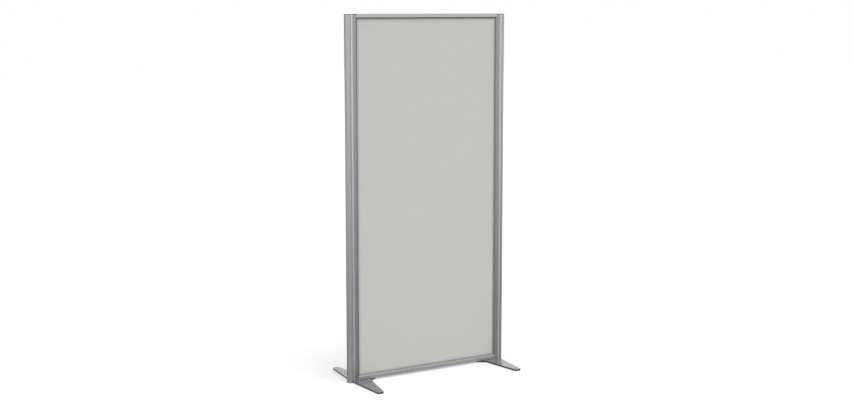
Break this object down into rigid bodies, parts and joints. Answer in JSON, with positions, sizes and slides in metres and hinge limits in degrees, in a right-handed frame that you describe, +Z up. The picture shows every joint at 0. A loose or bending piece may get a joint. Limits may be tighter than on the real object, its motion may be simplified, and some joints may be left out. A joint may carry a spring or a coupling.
{
  "type": "office partition",
  "caption": "Free-standing office partition: a tall fabric panel in a slim aluminium frame, on two flat winged steel feet with levelling glides.",
  "frame": {"origin": "on the floor, under the middle of the partition", "axes": "+Z up; X along the panel; Y through the panel, with the pictured face towards -Y"},
  "size_m": [0.9, 0.5, 1.8],
  "materials": {
    "post_aluminium": "satin anodised extrusion",
    "trim_aluminium": "satin anodised extrusion",
    "rail_aluminium": "satin anodised extrusion",
    "joiner_aluminium": "plain mill aluminium",
    "plate_steel": "silver powder coat on steel plate",
    "glide_steel": "zinc-plated",
    "zinc_steel": "zinc-plated",
    "cap_plastic": "moulded grey plastic",
    "pad_plastic": "black nylon",
    "gasket_rubber": "soft grey extruded gasket",
    "panel_fabric": "flat woven screen cloth, pale greenish grey",
    "hardboard": "raw hardboard",
    "softwood": "planed softwood",
    "card": "raw card"
  },
  "bodies": {
    "frame": {"bottom_rail": "rail_aluminium", "top_rail": "rail_aluminium", "panel_battens": "softwood", "panel_lattice": "card", "front_fabric": "panel_fabric", "front_board": "hardboard", "front_gasket": "gasket_rubber", "rear_fabric": "panel_fabric", "rear_board": "hardboard", "rear_gasket": "gasket_rubber", "left_post": "post_aluminium", "left_end_trim": "trim_aluminium", "left_post_cap": "cap_plastic", "left_bottom_joiner": "joiner_aluminium", "left_top_joiner": "joiner_aluminium", "left_rail_screws": "zinc_steel", "left_foot_plate": "plate_steel", "left_foot_bolts": "zinc_steel", "left_base_insert": "joiner_aluminium", "left_nut_plate": "zinc_steel", "right_post": "post_aluminium", "right_end_trim": "trim_aluminium", "right_post_cap": "cap_plastic", "right_bottom_joiner": "joiner_aluminium", "right_top_joiner": "joiner_aluminium", "right_rail_screws": "zinc_steel", "right_foot_plate": "plate_steel", "right_foot_bolts": "zinc_steel", "right_base_insert": "joiner_aluminium", "right_nut_plate": "zinc_steel"},
    "left_front_pad": {"left_front_glide_pad": "pad_plastic"},
    "left_front_screw": {"left_front_glide_screw": "glide_steel"},
    "left_rear_pad": {"left_rear_glide_pad": "pad_plastic"},
    "left_rear_screw": {"left_rear_glide_screw": "glide_steel"},
    "right_front_pad": {"right_front_glide_pad": "pad_plastic"},
    "right_front_screw": {"right_front_glide_screw": "glide_steel"},
    "right_rear_pad": {"right_rear_glide_pad": "pad_plastic"},
    "right_rear_screw": {"right_rear_glide_screw": "glide_steel"}
  },
  "joints": [
    {"name": "left_front_glide_travel", "type": "slide", "parent": "frame", "child": "left_front_pad", "axis": [0, 0, -1], "range_m": [0, 0.0045]},
    {"name": "left_front_glide_turn", "type": "hinge", "parent": "left_front_pad", "child": "left_front_screw", "pos_m": [-0.39332, -0.228, 0.01], "axis": [0, 0, -1], "range_deg": [0, 1080]},
    {"name": "left_rear_glide_travel", "type": "slide", "parent": "frame", "child": "left_rear_pad", "axis": [0, 0, -1], "range_m": [0, 0.0045]},
    {"name": "left_rear_glide_turn", "type": "hinge", "parent": "left_rear_pad", "child": "left_rear_screw", "pos_m": [-0.39332, 0.228, 0.01], "axis": [0, 0, -1], "range_deg": [0, 1080]},
    {"name": "right_front_glide_travel", "type": "slide", "parent": "frame", "child": "right_front_pad", "axis": [0, 0, -1], "range_m": [0, 0.0045]},
    {"name": "right_front_glide_turn", "type": "hinge", "parent": "right_front_pad", "child": "right_front_screw", "pos_m": [0.39332, -0.228, 0.01], "axis": [0, 0, -1], "range_deg": [0, 1080]},
    {"name": "right_rear_glide_travel", "type": "slide", "parent": "frame", "child": "right_rear_pad", "axis": [0, 0, -1], "range_m": [0, 0.0045]},
    {"name": "right_rear_glide_turn", "type": "hinge", "parent": "right_rear_pad", "child": "right_rear_screw", "pos_m": [0.39332, 0.228, 0.01], "axis": [0, 0, -1], "range_deg": [0, 1080]}
  ],
  "couplings": [
    {"joint": "left_front_glide_turn", "follows": "left_front_glide_travel", "rad_per_m": 4188.8},
    {"joint": "left_rear_glide_turn", "follows": "left_rear_glide_travel", "rad_per_m": 4188.8},
    {"joint": "right_front_glide_turn", "follows": "right_front_glide_travel", "rad_per_m": 4188.8},
    {"joint": "right_rear_glide_turn", "follows": "right_rear_glide_travel", "rad_per_m": 4188.8}
  ]
}
